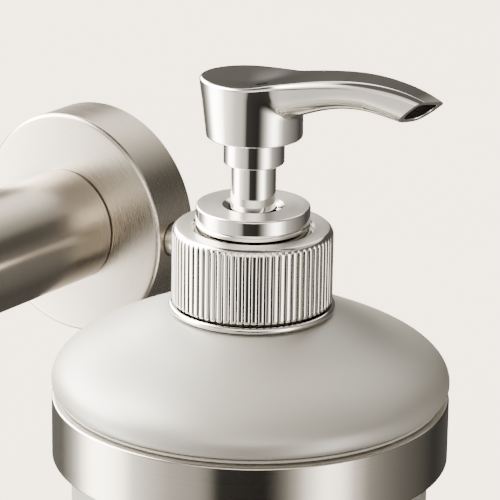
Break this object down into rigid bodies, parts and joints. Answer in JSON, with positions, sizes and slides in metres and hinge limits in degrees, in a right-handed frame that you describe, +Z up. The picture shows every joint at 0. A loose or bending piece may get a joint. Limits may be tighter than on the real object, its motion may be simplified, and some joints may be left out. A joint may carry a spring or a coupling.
{
  "type": "wall mounted soap dispenser",
  "caption": "Wall mounted lotion dispenser: frosted bottle held in a satin metal ring, with a polished press pump, long spout and ribbed closure.",
  "frame": {"origin": "centre of the wall bracket's back face, on the wall", "axes": "+Y into the wall, +Z up, +X to the right seen from the room; the dispenser stands out towards -Y and its bottle is to the right of the rosette"},
  "size_m": [0.1819, 0.1339, 0.1566],
  "materials": {
    "polished_nickel": "polished nickel plate",
    "brushed_nickel": "satin brushed",
    "steel": "plain machined",
    "frosted_glass": "satin etched",
    "white_plastic": "moulded",
    "clear_plastic": "clear extruded",
    "grey_rubber": "matte",
    "liner_plastic": "matte moulded"
  },
  "bodies": {
    "mount": {"wall_bracket": "steel", "wall_rosette": "brushed_nickel", "rosette_grub_screw": "steel", "support_post": "brushed_nickel", "post_end_cap": "brushed_nickel", "ring_arm": "brushed_nickel", "arm_clamp_screw": "steel", "holder_ring": "brushed_nickel", "ring_screw": "steel", "ring_liner": "liner_plastic"},
    "bottle": {"glass_bottle": "frosted_glass", "neck_collar": "polished_nickel"},
    "pump": {"pump_collar": "polished_nickel", "pump_housing": "white_plastic", "neck_gasket": "grey_rubber", "stem_guide": "white_plastic", "valve_cage": "white_plastic", "dip_tube": "clear_plastic", "return_spring": "steel"},
    "cap": {"closure_shell": "polished_nickel", "closure_insert": "white_plastic"},
    "inlet_ball": {"inlet_ball": "steel"},
    "plunger": {"piston": "white_plastic", "piston_stem": "white_plastic", "stem_sleeve": "polished_nickel"},
    "head": {"pump_head": "polished_nickel", "head_collar": "polished_nickel", "spout_liner": "white_plastic"},
    "outlet_ball": {"outlet_ball": "steel"}
  },
  "joints": [
    {"name": "bottle_lift", "type": "slide", "parent": "mount", "child": "bottle", "axis": [0, 0, 1], "range_m": [0, 0.092]},
    {"name": "pump_lift", "type": "slide", "parent": "bottle", "child": "pump", "axis": [0, 0, 1], "range_m": [0, 0.115]},
    {"name": "cap_turn", "type": "hinge", "parent": "pump", "child": "cap", "pos_m": [0.1129, -0.0928, 0.0348], "axis": [0, 0, 1], "range_deg": [0, 540]},
    {"name": "inlet_ball_lift", "type": "slide", "parent": "pump", "child": "inlet_ball", "axis": [0, 0, 1], "range_m": [0, 0.0018]},
    {"name": "pump_press", "type": "slide", "parent": "pump", "child": "plunger", "axis": [0, 0, -1], "range_m": [0, 0.0085], "stiffness_N_per_m": 900, "springref_m": -0.005, "deforming": ["return_spring"]},
    {"name": "head_turn", "type": "hinge", "parent": "plunger", "child": "head", "pos_m": [0.1129, -0.0928, 0.0619], "axis": [0, 0, 1], "continuous": true},
    {"name": "outlet_ball_lift", "type": "slide", "parent": "head", "child": "outlet_ball", "axis": [0, 0, 1], "range_m": [0, 0.0012]}
  ]
}
